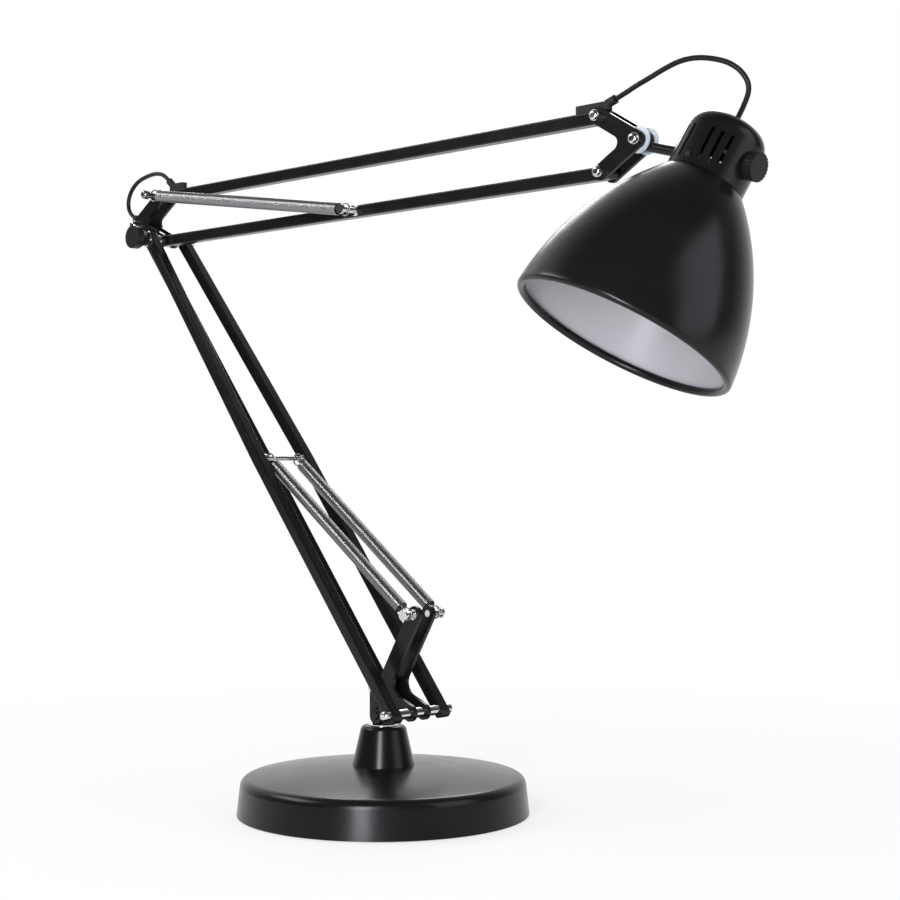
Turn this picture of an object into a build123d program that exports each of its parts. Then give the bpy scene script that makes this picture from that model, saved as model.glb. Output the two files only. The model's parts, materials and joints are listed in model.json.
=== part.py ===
"""Spring-balanced architect lamp on a round weighted base.

Millimetres, +Z up. X runs along the arm plane towards the head, Y along the pivot bolts.
The origin is the middle of the base's underside.
"""
import os
from math import atan2, cos, degrees, pi, radians, sin, sqrt, tan

import numpy as np
from build123d import *

# Base
base_radius = 110.0
base_lift = 1.0
base_side_height = 28.0
base_draft = 3.0
base_crown_height = 37.0
base_crown_bulge = 1.6
base_shoulder_round = 7.0
cover_wall = 1.6
weight_gap = 0.4
weight_thickness = 16.0
pad_thickness = 2.0
nut_recess_depth = 10.0
nut_recess_radius = 19.0
base_nut_radius = 16.0
base_nut_height = 5.0
base_nut_flange = 1.6

# Ferrule and swivel post
ferrule_foot_radius = 23.4
ferrule_top_radius = 16.6
ferrule_height = 29.7
ferrule_shoulder_round = 4.0
ferrule_tail_radius = 11.0
bush_wall = 1.5
bush_length = 45.7
thrust_ring_radius = 12.0
thrust_ring_height = 0.8
spigot_radius = 7.0
post_radius = 8.3

# Pivot places in the arm plane
foot_pivot_ahead = 35.8
foot_pivot_above_crown = 42.2
link_pivot_rise = 16.3
spring_tip_ahead = 5.2
spring_tip_rise = 73.0
lower_arm_lean = 38.9
upper_arm_rise = 0.0
arm_length = 486.0
elbow_tip_back = 2.5
elbow_tip_rise = 38.0
knuckle_ahead = 30.4
knuckle_rise = 18.0

# Bracket plates
foot_plate_thickness = 3.0
foot_plate_half_gap = 5.5
foot_plate_half_width = 6.2
foot_plate_round = 10.0
plate_corner_ahead = 5.0
plate_corner_drop = 4.0
foot_tail_round = 2.0
arm_plate_thickness = 2.5
arm_plate_half_gap = 5.0
arm_plate_half_width = 5.8
arm_plate_round = 5.0
rivet_radius = 2.0
rivet_head = 1.2
rivet_step = 7.5

# Arm bars
bar_size = 9.0
bar_wall = 1.2
bar_corner = 1.2
bar_over = 3.6
plug_nose = 3.0
foot_spread = 25.0
elbow_spread = 17.0
plug_depth = 9.0

# Bolts, spacers and clearances
foot_bolt_radius = 2.7
elbow_bolt_radius = 2.7
small_bolt_radius = 2.5
spacer_wall = 1.3
dome_extra_radius = 1.3
dome_height = 5.5
dome_round_share = 0.6
washer_radius = 6.5
washer_thickness = 1.8
pin_clearance = 0.08
fit_clearance = 0.05
side_gap = 0.3
running_gap = 0.05

# Elbow clamp knob
knob_cone_length = 8.0
knob_disc_length = 6.0
knob_neck_radius = 4.6
knob_radius = 9.6
knob_floor = 2.5

# Springs
spring_wire = 2.4
spring_mean_radius = 4.3
spring_side = 14.5
upper_spring_side = 14.0
lower_spring_turns = 28
upper_spring_turns = 40
hook_gap = 0.3
hook_start_angle = -60.0
hook_to_coil = 7.5
rod_radius = 2.2
rod_collar_radius = 3.6
rod_collar_length = 2.0
stud_head_radius = 4.0
stud_head_length = 1.4
pin_nut_radius = 4.0
pin_nut_length = 3.0

# Cord and its grommets
cord_diameter = 3.6
arc_share = 0.45
lead_run = 8.5
cap_lead_run = 10.0
elbow_cord_angle = 138.7
head_cord_angle = 18.1
link_cord_angle = 151.9
grommet_wall = 1.3
grommet_pad_height = 5.6
grommet_mouth_rise = 4.2
grommet_pad_width = 6.6
elbow_grommet_length = 20.0
elbow_grommet_offset = 17.0
head_grommet_length = 30.0
head_grommet_offset = -9.0
grommet_sleeve = 7.5
link_sleeve = 9.0
link_grommet_flange = 1.5

# Head
stem_drop = 15.8
stem_reach = 61.3
stem_offset = 3.3
stem_radius = 3.4
stem_eye_radius = 6.2
friction_disc_radius = 9.0
friction_disc_thickness = 1.0
head_twist = 24.7
stem_above_shade = 18.3
stem_collar_radius = 5.6
stem_collar_length = 2.6
stem_nut_radius = 6.0
stem_nut_length = 5.0
shade_rim_radius = 74.6
shade_neck_radius = 27.0
shade_height = 111.5
shade_bulge = 10.3
shade_sheet = 1.2
shade_bead_radius = 2.75
holder_hole_radius = 20.0
cap_radius = 26.6
cap_wall = 1.5
cap_edge_height = 39.7
cap_top_height = 45.5
cap_edge_round = 12.0
cap_crown_bulge = 1.2
slot_width = 2.2
slot_low = 4.2
slot_high = 28.2
slot_first = 44.5
slot_step = 14.7
slots_in_group = 3
holder_body_radius = 19.6
holder_crown_height = 8.5
holder_depth = 26.0
holder_floor = 2.5
socket_radius = 13.4
cap_screw_height = 5.6
cap_screw_radius = 1.0
cap_screw_head_radius = 1.7
cap_screw_head_length = 1.0
cap_screw_length = 6.0
switch_body_radius = 7.0
switch_body_length = 11.0
switch_neck_radius = 4.6
switch_neck_length = 0.6
switch_shaft_radius = 2.5
switch_knob_radius = 9.3
switch_knob_length = 7.0
switch_knob_flutes = 24
switch_flute_radius = 0.6
cap_grommet_flange = 4.6
cap_grommet_rise = 3.0

Y_WAY = Vector(0, 1, 0)


def in_plane(ahead, up):
    """Point or direction in the arm plane."""
    return Vector(ahead, 0, up)


def heading(angle):
    """Direction in the arm plane, in degrees up from +X."""
    return in_plane(cos(radians(angle)), sin(radians(angle)))


def at_side(point, side):
    """The same point moved to one side along Y."""
    return Vector(point.X, side, point.Z)


# Pivots worked out from the driving places
foot_pivot_height = base_crown_height + foot_pivot_above_crown
foot_pivot = in_plane(foot_pivot_ahead, foot_pivot_height)
link_pivot = in_plane(0, foot_pivot_height + link_pivot_rise)
spring_tip = foot_pivot + in_plane(spring_tip_ahead, spring_tip_rise)
lower_way = heading(90 + lower_arm_lean)
upper_way = heading(upper_arm_rise)
elbow_pivot = foot_pivot + lower_way * arm_length
rod_place = foot_pivot + lower_way * (arm_length / 2)
link_top = elbow_pivot + (link_pivot - foot_pivot)
elbow_tip = elbow_pivot + in_plane(-elbow_tip_back, elbow_tip_rise)
head_low = elbow_pivot + upper_way * arm_length
head_high = elbow_tip + upper_way * arm_length
knuckle = head_low + in_plane(knuckle_ahead, knuckle_rise)
spring_pin_place = elbow_pivot + upper_way * (arm_length / 2)

# Side limits of the stacks on the bolts
foot_plate_face = foot_plate_half_gap + foot_plate_thickness
arm_plate_face = arm_plate_half_gap + arm_plate_thickness
bar_half = bar_size / 2
foot_bar_inside = foot_spread - bar_half
foot_bar_outside = foot_spread + bar_half
elbow_bar_inside = elbow_spread - bar_half
elbow_bar_outside = elbow_spread + bar_half
bar_inside_size = bar_size - 2 * bar_wall
cord_radius = cord_diameter / 2
stem_height = shade_height + stem_above_shade


def pin(point, low, high, radius):
    """Round pin along Y between two side places."""
    place = Plane(at_side(point, low), x_dir=(1, 0, 0), z_dir=(0, 1, 0))
    return extrude(place * Circle(radius), high - low)


def sleeve(point, low, high, outer, bore):
    """Ring along Y between two side places."""
    return pin(point, low, high, outer) - pin(point, low, high, bore)


def mirrored(point, low, high, maker, *sizes):
    """The same piece on both sides of the arm plane."""
    return maker(point, low, high, *sizes) + maker(point, -high, -low, *sizes)


def dome(point, side, radius, height, way):
    """Round-topped head standing out along Y from a flat seat."""
    place = Plane(at_side(point, side), x_dir=(1, 0, 0), z_dir=(0, way, 0))
    body = place * Cylinder(radius, height, align=(Align.CENTER, Align.CENTER, Align.MIN))
    far_edge = body.edges().filter_by(GeomType.CIRCLE).sort_by(Axis.Y)[-1 if way > 0 else 0]
    return fillet(far_edge, min(radius, height) * dome_round_share)


def headed_bolt(point, low, high, radius):
    """Bolt along Y with a round head on its low end."""
    return pin(point, low, high, radius) + dome(point, low, radius + dome_extra_radius, dome_height, -1)


def cap_nut(point, seat, radius, bolt_end):
    """Closed nut on the high end of a bolt."""
    body = dome(point, seat, radius + dome_extra_radius, dome_height, 1)
    return body - pin(point, seat, bolt_end + fit_clearance, radius + fit_clearance)


def spin(sketch):
    """Turn an outline of radius and height about the upright axis."""
    return revolve(Plane.XZ * sketch, Axis.Z)


def disc(radius, low, high):
    """Upright round plate about the base axis."""
    return Pos(0, 0, low) * Cylinder(radius, high - low, align=(Align.CENTER, Align.CENTER, Align.MIN))


def crown_outline(radius, foot, edge, top, flat, bulge, edge_round):
    """Half outline of a round cover: upright side, rounded edge and a bulged top with a flat middle."""
    low, corner, crown = Vector(radius[0], foot), Vector(radius[1], edge), Vector(flat, top)
    across = (crown - corner).normalized()
    middle = (corner + crown) / 2 + Vector(-across.Y, across.X) * -bulge
    side = Polyline((0, foot), low, corner)
    top_line = ThreePointArc(corner, middle, crown)
    back = Polyline(crown, (0, top), (0, foot)) if flat > 0 else Line(crown, (0, foot))
    face = make_face(side + top_line + back)
    return fillet(face.vertices().sort_by_distance(corner)[0], edge_round)


# Base pieces
def base_shape(inset):
    """Solid under the cover's skin, drawn in by an inset."""
    radii = (base_radius - inset, base_radius - base_draft - inset)
    top = base_crown_height - inset
    edge = base_side_height - inset
    seat = ferrule_foot_radius + cover_wall
    shoulder = base_shoulder_round - inset
    return spin(crown_outline(radii, base_lift, edge, top, seat, base_crown_bulge, shoulder))


def make_base():
    """Cover, iron weight, felt pad, flanged nut, ferrule, its bush and the thrust ring."""
    tail_bore = ferrule_tail_radius + fit_clearance
    cover = base_shape(0) - base_shape(cover_wall) - disc(tail_bore, 0, base_crown_height)
    weight_radius = base_radius - base_draft - cover_wall - weight_gap
    weight_top = pad_thickness + weight_thickness
    recess_top = pad_thickness + nut_recess_depth
    weight = disc(weight_radius, pad_thickness, weight_top)
    weight += disc(ferrule_foot_radius, weight_top, base_crown_height - cover_wall)
    weight -= disc(tail_bore, 0, base_crown_height)
    weight -= disc(nut_recess_radius, pad_thickness, recess_top)
    pad = disc(weight_radius, 0, pad_thickness)
    flange_foot = recess_top - base_nut_flange
    nut_foot = flange_foot - base_nut_height
    nut = extrude(Plane.XY.offset(nut_foot) * RegularPolygon(base_nut_radius, 6), base_nut_height)
    nut += disc(base_nut_radius, flange_foot, recess_top)
    nut -= disc(tail_bore, nut_foot, recess_top)
    mouth = base_crown_height + ferrule_height
    bush_outer = spigot_radius + running_gap + bush_wall
    bush_foot = mouth - bush_length
    outline = Polyline(
        (0, nut_foot), (ferrule_tail_radius, nut_foot), (ferrule_tail_radius, base_crown_height),
        (ferrule_foot_radius, base_crown_height), (ferrule_top_radius, mouth), (0, mouth), (0, nut_foot),
    )
    ferrule = spin(make_face(outline))
    shoulder = ferrule.edges().filter_by(GeomType.CIRCLE).sort_by(Axis.Z)[-1]
    ferrule = fillet(shoulder, ferrule_shoulder_round) - disc(bush_outer + fit_clearance, bush_foot, mouth)
    bush = disc(bush_outer, bush_foot, mouth) - disc(spigot_radius + running_gap, bush_foot, mouth)
    ring_top = mouth + thrust_ring_height
    ring = disc(thrust_ring_radius, mouth, ring_top) - disc(spigot_radius + running_gap, mouth, ring_top)
    pieces = {
        "base_cover": cover, "base_weight": weight, "base_pad": pad, "base_nut": nut,
        "ferrule": ferrule, "ferrule_bush": bush, "thrust_ring": ring,
    }
    return pieces, bush_foot, ring_top


# Bracket plates
def strip(first, second, half_width):
    """Round-ended strip between two pivots, drawn with X across and Z up."""
    middle, run = (first + second) / 2, second - first
    slot = SlotCenterToCenter(run.length, 2 * half_width, rotation=degrees(atan2(run.Z, run.X)))
    return Pos(middle.X, middle.Z) * slot


def inner_corner(vertex, first, second, half_width):
    """Drawn place of the notch between two strips that share a pivot."""
    one, two = (first - vertex).normalized(), (second - vertex).normalized()
    middle = (one + two).normalized()
    reach = half_width / sqrt(1 - one.dot(middle) ** 2)
    notch = vertex + middle * reach
    return Vector(notch.X, notch.Z)


def notched(sketch, vertex, first, second, half_width, radius):
    """Round the notch between two strips."""
    notch = inner_corner(vertex, first, second, half_width)
    return fillet(sketch.vertices().sort_by_distance(notch)[0], radius)


def plate_pair(sketch, holes, half_gap, thickness):
    """Near and far plate cut from one outline, with round holes."""
    for point, radius in holes:
        sketch -= Pos(point.X, point.Z) * Circle(radius)
    near, far = (
        extrude(Plane((0, high, 0), x_dir=(1, 0, 0), z_dir=(0, -1, 0)) * sketch, thickness)
        for high in (-half_gap, half_gap + thickness)
    )
    return near, far


def make_foot_bracket(bush_foot, ring_top):
    """Swivel post with its two plates, pivot bolts, spacers and spring studs."""
    post_foot = ring_top + running_gap
    bar_swing = sqrt(bar_half ** 2 + (bar_over + link_grommet_flange) ** 2)
    post_top = link_pivot.Z - bar_swing - side_gap
    tail_end = in_plane(0, post_foot + side_gap + foot_plate_half_width)
    rivets = [tail_end, tail_end + in_plane(0, rivet_step)]
    corner = link_pivot + in_plane(plate_corner_ahead, -plate_corner_drop)
    sketch = strip(spring_tip, corner, foot_plate_half_width)
    sketch += strip(foot_pivot, corner, foot_plate_half_width)
    sketch += strip(tail_end, link_pivot, foot_plate_half_width)
    notch_sizes = (foot_plate_half_width, foot_plate_round)
    sketch = notched(sketch, corner, spring_tip, foot_pivot, *notch_sizes)
    sketch = notched(sketch, corner, foot_pivot, tail_end, foot_plate_half_width, foot_tail_round)
    holes = [(foot_pivot, foot_bolt_radius + fit_clearance)]
    holes += [(point, small_bolt_radius + fit_clearance) for point in (link_pivot, spring_tip)]
    holes += [(point, rivet_radius + fit_clearance) for point in rivets]
    near, far = plate_pair(sketch, holes, foot_plate_half_gap, foot_plate_thickness)

    post = disc(spigot_radius, bush_foot + side_gap, post_foot) + disc(post_radius, post_foot, post_top)
    tongue_low = tail_end.Z - foot_plate_half_width - side_gap
    keep = disc(post_radius, bush_foot, tongue_low)
    flat = Box(4 * post_radius, 2 * (foot_plate_half_gap - fit_clearance), 4 * post_top)
    post = (post & keep) + (post & flat)
    rivet_side = foot_plate_face
    rivet_group = None
    for point in rivets:
        post -= pin(point, -post_radius, post_radius, rivet_radius + fit_clearance)
        body = pin(point, -rivet_side, rivet_side, rivet_radius)
        body += dome(point, rivet_side, rivet_radius + rivet_head, rivet_head, 1)
        body += dome(point, -rivet_side, rivet_radius + rivet_head, rivet_head, -1)
        rivet_group = body if rivet_group is None else rivet_group + body

    bolt_seat = foot_bar_outside + side_gap
    bolt_end = bolt_seat + dome_height / 2
    pivot_bolt = headed_bolt(foot_pivot, -bolt_seat, bolt_end, foot_bolt_radius)
    spacer = foot_bolt_radius + spacer_wall
    bore = foot_bolt_radius + fit_clearance
    spacers = sleeve(foot_pivot, -foot_plate_half_gap, foot_plate_half_gap, spacer, bore)
    spacers += mirrored(foot_pivot, foot_plate_face, foot_bar_inside - side_gap, sleeve, spacer, bore)
    rear_end = foot_plate_face + dome_height / 2
    rear_bolt = headed_bolt(link_pivot, -foot_plate_face, rear_end, small_bolt_radius)
    nuts = cap_nut(foot_pivot, bolt_seat, foot_bolt_radius, bolt_end)
    nuts += cap_nut(link_pivot, foot_plate_face, small_bolt_radius, rear_end)
    stud_end = foot_bar_inside - side_gap
    studs = mirrored(spring_tip, foot_plate_half_gap, stud_end, pin, small_bolt_radius)
    studs += mirrored(spring_tip, stud_end - stud_head_length, stud_end, pin, stud_head_radius)
    studs += mirrored(spring_tip, foot_plate_face, foot_plate_face + stud_head_length, pin, stud_head_radius)
    return {
        "swivel_post": post, "foot_plate_near": near, "foot_plate_far": far, "plate_rivets": rivet_group,
        "foot_pivot_bolt": pivot_bolt, "foot_pivot_spacers": spacers, "link_pivot_bolt": rear_bolt,
        "foot_cap_nuts": nuts, "lower_spring_studs": studs,
    }


# Arm bars
def square_rod(start, end, size, corner, over=0.0):
    """Square rod with rounded edges along a line, lengthened by the same amount at both ends."""
    way = (end - start).normalized()
    place = Plane(start - way * over, x_dir=way.cross(Y_WAY), z_dir=way)
    return extrude(place * RectangleRounded(size, size, corner), (end - start).length + 2 * over)


def bent_rod(points, size, corner, over):
    """Square rod along two runs, mitred where they meet."""
    start, bend, end = points
    one, two = (bend - start).normalized(), (end - bend).normalized()
    mitre = Plane(bend, z_dir=(one + two).normalized())
    first = square_rod(start - one * over, bend + one * size, size, corner)
    second = square_rod(bend - two * size, end + two * over, size, corner)
    return split(first, bisect_by=mitre, keep=Keep.BOTTOM) + split(second, bisect_by=mitre, keep=Keep.TOP)


def end_plug(pivot, way):
    """Round-nosed plug in the open end of a bar."""
    mouth = pivot + way * bar_over
    place = Plane(mouth, x_dir=way.cross(Y_WAY), z_dir=way)
    inner = bar_inside_size - 2 * fit_clearance
    tongue = extrude(place * Rectangle(inner, inner), -plug_depth)
    nose = extrude(place * RectangleRounded(bar_size, bar_size, bar_corner), plug_nose)
    barrel_radius = (bar_half ** 2 + plug_nose ** 2) / (2 * plug_nose)
    barrel_centre = mouth + way * (plug_nose - barrel_radius)
    barrel = Plane(barrel_centre, x_dir=way, z_dir=place.y_dir) * Cylinder(barrel_radius, 2 * bar_size)
    return tongue + (nose & barrel)


def straight_bar(start, end, bolt_radius):
    """Hollow straight bar between two pivots."""
    tube = square_rod(start, end, bar_size, bar_corner, bar_over)
    tube -= square_rod(start, end, bar_inside_size, fit_clearance, 2 * bar_over)
    for point, radius in zip((start, end), bolt_radius):
        tube -= pin(point, -bar_size, bar_size, radius + pin_clearance)
    return tube


def drilled_plugs(start, end, bolt_radius):
    """Plugs for both ends of a straight bar, bored for its pivots."""
    way = (end - start).normalized()
    plugs = end_plug(start, -way) - pin(start, -bar_size, bar_size, bolt_radius[0] + pin_clearance)
    return plugs + (end_plug(end, way) - pin(end, -bar_size, bar_size, bolt_radius[1] + pin_clearance))


def make_lower_arm():
    """The two bent side bars with their plugs and the rod that ties them and holds the springs."""
    bars, plugs = [], None
    for way in (-1, 1):
        points = [
            at_side(foot_pivot, way * foot_spread),
            at_side(rod_place, way * foot_spread),
            at_side(elbow_pivot, way * elbow_spread),
        ]
        bar = bent_rod(points, bar_size, bar_corner, bar_over)
        bar -= bent_rod(points, bar_inside_size, fit_clearance, 2 * bar_over)
        bores = pin(foot_pivot, -2 * foot_spread, 2 * foot_spread, foot_bolt_radius + pin_clearance)
        bores += pin(elbow_pivot, -2 * foot_spread, 2 * foot_spread, elbow_bolt_radius + pin_clearance)
        bar -= bores
        bar -= pin(rod_place, -foot_spread, foot_spread, rod_radius + fit_clearance)
        bars.append(bar)
        foot_plug = end_plug(points[0], (points[0] - points[1]).normalized()) - bores
        head_plug = end_plug(points[2], (points[2] - points[1]).normalized()) - bores
        pair = foot_plug + head_plug
        plugs = pair if plugs is None else plugs + pair
    rod = pin(rod_place, -foot_spread, foot_spread, rod_radius)
    collar_end = foot_bar_inside - side_gap
    collar_start = collar_end - rod_collar_length
    rod += mirrored(rod_place, collar_start, collar_end, pin, rod_collar_radius)
    return {
        "lower_bar_near": bars[0], "lower_bar_far": bars[1], "lower_bar_plugs": plugs,
        "spring_cross_rod": rod,
    }


def make_rear_link():
    """The central bar that keeps the elbow level, and the rubber cord grommets in its ends."""
    radii = (small_bolt_radius, small_bolt_radius)
    bar = straight_bar(link_pivot, link_top, radii)
    grommets = None
    for pivot, way in ((link_pivot, -lower_way), (link_top, lower_way)):
        mouth = pivot + way * bar_over
        place = Plane(mouth, x_dir=way.cross(Y_WAY), z_dir=way)
        inner = bar_inside_size - 2 * fit_clearance
        body = extrude(place * RectangleRounded(bar_size, bar_size, bar_corner), link_grommet_flange)
        body += extrude(place * Rectangle(inner, inner), -plug_depth)
        body -= pin(pivot, -bar_size, bar_size, small_bolt_radius + pin_clearance)
        grommets = body if grommets is None else grommets + body
    top_mouth = link_top + lower_way * (bar_over + link_grommet_flange)
    nose = Plane(top_mouth, z_dir=link_cord_way) * Cylinder(cord_radius + grommet_wall, 2 * link_sleeve)
    nose = split(nose, bisect_by=Plane(top_mouth, z_dir=lower_way), keep=Keep.TOP)
    return {"rear_bar": bar, "rear_bar_grommets": grommets + nose}, top_mouth + link_cord_way * link_sleeve


# Elbow
def wedge_plates(low, vertex, high, holes):
    """Pair of two-armed plates joining a parallelogram's pivots."""
    sketch = strip(low, vertex, arm_plate_half_width) + strip(high, vertex, arm_plate_half_width)
    sketch = notched(sketch, vertex, low, high, arm_plate_half_width, arm_plate_round)
    return plate_pair(sketch, holes, arm_plate_half_gap, arm_plate_thickness)


def make_elbow():
    """Elbow plates with their bolts, spacers, nuts and the clamp knob's washer."""
    holes = [(elbow_pivot, elbow_bolt_radius + fit_clearance)]
    holes += [(point, small_bolt_radius + fit_clearance) for point in (link_top, elbow_tip)]
    near, far = wedge_plates(elbow_pivot, link_top, elbow_tip, holes)
    far_seat = elbow_bar_outside + side_gap
    far_end = far_seat + dome_height / 2
    washer_high = -elbow_bar_outside - side_gap
    washer_low = washer_high - washer_thickness
    knob_end = washer_low - running_gap - knob_cone_length
    bolt = pin(elbow_pivot, knob_end, far_end, elbow_bolt_radius)
    bore = elbow_bolt_radius + fit_clearance
    washer = sleeve(elbow_pivot, washer_low, washer_high, washer_radius, bore)
    outer = elbow_bolt_radius + spacer_wall
    spacers = mirrored(elbow_pivot, arm_plate_face, elbow_bar_inside - side_gap, sleeve, outer, bore)
    plate_end = arm_plate_face + dome_height / 2
    link_bolt = headed_bolt(link_top, -arm_plate_face, plate_end, small_bolt_radius)
    tip_low = -upper_spring_side - spring_mean_radius - spring_wire / 2 - side_gap
    tip_bolt = headed_bolt(elbow_tip, tip_low, plate_end, small_bolt_radius)
    nuts = cap_nut(elbow_pivot, far_seat, elbow_bolt_radius, far_end)
    nuts += cap_nut(link_top, arm_plate_face, small_bolt_radius, plate_end)
    nuts += cap_nut(elbow_tip, arm_plate_face, small_bolt_radius, plate_end)

    knob_seat = washer_low - running_gap
    place = Plane(at_side(elbow_pivot, knob_seat), x_dir=(1, 0, 0), z_dir=(0, -1, 0))
    knob_top = knob_cone_length + knob_disc_length
    outline = Polyline(
        (0, 0), (knob_neck_radius, 0), (knob_radius, knob_cone_length), (knob_radius, knob_top),
        (0, knob_top), (0, 0),
    )
    knob = place * spin(make_face(outline))
    knob -= pin(elbow_pivot, knob_end - knob_floor, knob_seat, elbow_bolt_radius + running_gap)
    return {
        "elbow_plate_near": near, "elbow_plate_far": far, "elbow_bolt": bolt, "elbow_spacers": spacers,
        "elbow_washer": washer, "link_top_bolt": link_bolt, "elbow_tip_bolt": tip_bolt,
        "elbow_cap_nuts": nuts, "elbow_knob": knob,
    }


# Upper arm
def bar_grommet(pivot, offset, length, mouth_way):
    """Rubber pad on top of the top bar with a sleeve that the cord leaves."""
    top = pivot + upper_way * offset + upper_up * bar_half
    place = Plane(top, x_dir=upper_way, z_dir=upper_up)
    pad = extrude(place * SlotOverall(length, grommet_pad_width), grommet_pad_height)
    hand = 1 if mouth_way.dot(upper_way) > 0 else -1
    root = top + upper_way * hand * (length - grommet_pad_width) / 2 + upper_up * grommet_mouth_rise
    nozzle = extrude(Plane(root, z_dir=mouth_way) * Circle(cord_radius + grommet_wall), grommet_sleeve)
    return pad + nozzle, root + mouth_way * grommet_sleeve


def make_upper_arm():
    """Bottom bar with its spring pin, top bar with its cord grommets, and the plugs of both."""
    low_bolts = (elbow_bolt_radius, small_bolt_radius)
    high_bolts = (small_bolt_radius, small_bolt_radius)
    low_bar = straight_bar(elbow_pivot, head_low, low_bolts)
    low_bar -= pin(spring_pin_place, -bar_size, bar_size, rod_radius + fit_clearance)
    high_bar = straight_bar(elbow_tip, head_high, high_bolts)
    pin_low = -upper_spring_side - spring_mean_radius - spring_wire / 2 - side_gap
    pin_high = bar_half + pin_nut_length
    spring_pin = pin(spring_pin_place, pin_low, pin_high, rod_radius)
    spring_pin += pin(spring_pin_place, pin_low - stud_head_length, pin_low, stud_head_radius)
    spring_pin += pin(spring_pin_place, -bar_half - pin_nut_length, -bar_half, pin_nut_radius)
    spring_pin += pin(spring_pin_place, bar_half, pin_high, pin_nut_radius)
    elbow_sizes = (elbow_grommet_offset, elbow_grommet_length)
    head_sizes = (head_grommet_offset, head_grommet_length)
    elbow_grommet, elbow_mouth = bar_grommet(elbow_tip, *elbow_sizes, elbow_cord_way)
    head_grommet, head_mouth = bar_grommet(head_high, *head_sizes, head_cord_way)
    pieces = {
        "bottom_bar": low_bar, "bottom_bar_plugs": drilled_plugs(elbow_pivot, head_low, low_bolts),
        "upper_spring_pin": spring_pin, "top_bar": high_bar,
        "top_bar_plugs": drilled_plugs(elbow_tip, head_high, high_bolts),
        "top_bar_grommets": elbow_grommet + head_grommet,
    }
    return pieces, elbow_mouth, head_mouth


# Springs
def bow(start, way, end):
    """Circular arc that leaves a point along a direction and ends at another point."""
    chord = end - start
    lean = (way + chord.normalized()).normalized()
    middle = start + lean * (chord.length / 2 / lean.dot(chord.normalized()))
    return ThreePointArc(start, middle, end)


def biarc(start, start_way, end, end_way):
    """Two tangent arcs between two points with given directions."""
    span = end - start
    square = 2 * (start_way.dot(end_way) - 1)
    slope = -2 * span.dot(start_way + end_way)
    reach = (-slope - sqrt(slope ** 2 - 4 * square * span.dot(span))) / (2 * square)
    first, second = start + start_way * reach, end - end_way * reach
    joint = (first + second) / 2
    return [bow(start, start_way, joint), bow(joint, (second - first).normalized(), end)]


def spring(first_pin, second_pin, side, pin_radii, turns, name):
    """Tension spring as one wire: hook round the first pin, coil, hook round the second pin."""
    along = (second_pin - first_pin).normalized()
    across = along.cross(Y_WAY)
    seats = [spring_mean_radius - spring_wire / 2 - radius - hook_gap for radius in pin_radii]
    first = at_side(first_pin + along * seats[0], side)
    second = at_side(second_pin - along * seats[1], side)

    def half(centre, ahead, sideways):
        """Straight tail, hook arcs and the run into the coil at one end, from the tip inwards."""
        def on_hook(angle):
            return centre + (ahead * cos(angle) + sideways * sin(angle)) * spring_mean_radius

        begin, finish = radians(hook_start_angle), radians(-270)
        middle = (begin + finish) / 2
        begin_way = ahead * sin(begin) - sideways * cos(begin)
        tip = on_hook(begin) - begin_way * spring_wire
        middle_way = ahead * sin(middle) - sideways * cos(middle)
        edges = [Line(tip, on_hook(begin)), bow(on_hook(begin), begin_way, on_hook(middle))]
        edges.append(bow(on_hook(middle), middle_way, on_hook(finish)))
        coil_start = centre + ahead * hook_to_coil + Y_WAY * spring_mean_radius
        coil_way = (ahead * pitch - sideways * (2 * pi * spring_mean_radius)).normalized()
        edges += biarc(on_hook(finish), ahead, coil_start, coil_way)
        return edges

    coil_length = (second - first).length - 2 * hook_to_coil
    pitch = coil_length / turns

    def on_coil(half_turn):
        angle = pi / 2 + half_turn * pi
        spot = first + along * (hook_to_coil + pitch * half_turn / 2)
        spot += (across * cos(angle) + Y_WAY * sin(angle)) * spring_mean_radius
        way = along * pitch + (Y_WAY * cos(angle) - across * sin(angle)) * (2 * pi * spring_mean_radius)
        return spot, way.normalized()

    edges = half(first, along, across)
    for step in range(2 * turns):
        edges += biarc(*on_coil(step), *on_coil(step + 1))
    edges += [edge.reversed(reconstruct=True) for edge in reversed(half(second, -along, -across))]
    path = Wire(edges)
    tip_place = Plane(edges[0] @ 0, z_dir=edges[0] % 0)
    body = sweep(tip_place * Circle(spring_wire / 2), path=path)
    print(f"{name}: {turns} curls, least gap to itself {least_gap(edges):.2f} mm, "
          f"volume share {body.volume / (path.length * pi * spring_wire ** 2 / 4):.4f}")
    return body


def least_gap(edges):
    """Least clear distance between stretches of the wire that lie apart along it."""
    samples = 6
    spots = np.array([tuple(edge @ (step / samples)) for edge in edges for step in range(samples)])
    steps = np.linalg.norm(np.diff(spots, axis=0), axis=1)
    travel = np.concatenate([[0.0], np.cumsum(steps)])
    apart = np.linalg.norm(spots[:, None] - spots[None, :], axis=2)
    far = np.abs(travel[:, None] - travel[None, :]) > pi * spring_mean_radius
    return apart[far].min() - spring_wire


def make_springs():
    """Two springs beside the lower arm and one beside the upper arm."""
    pins = (rod_radius, small_bolt_radius)
    lower_ends, upper_ends = (rod_place, spring_tip), (elbow_tip, spring_pin_place)
    near = spring(*lower_ends, -spring_side, pins, lower_spring_turns, "lower_spring_near")
    far = spring(*lower_ends, spring_side, pins, lower_spring_turns, "lower_spring_far")
    upper = spring(*upper_ends, -upper_spring_side, pins[::-1], upper_spring_turns, "upper_spring")
    return {"lower_spring_near": near, "lower_spring_far": far, "upper_spring": upper}


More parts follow.
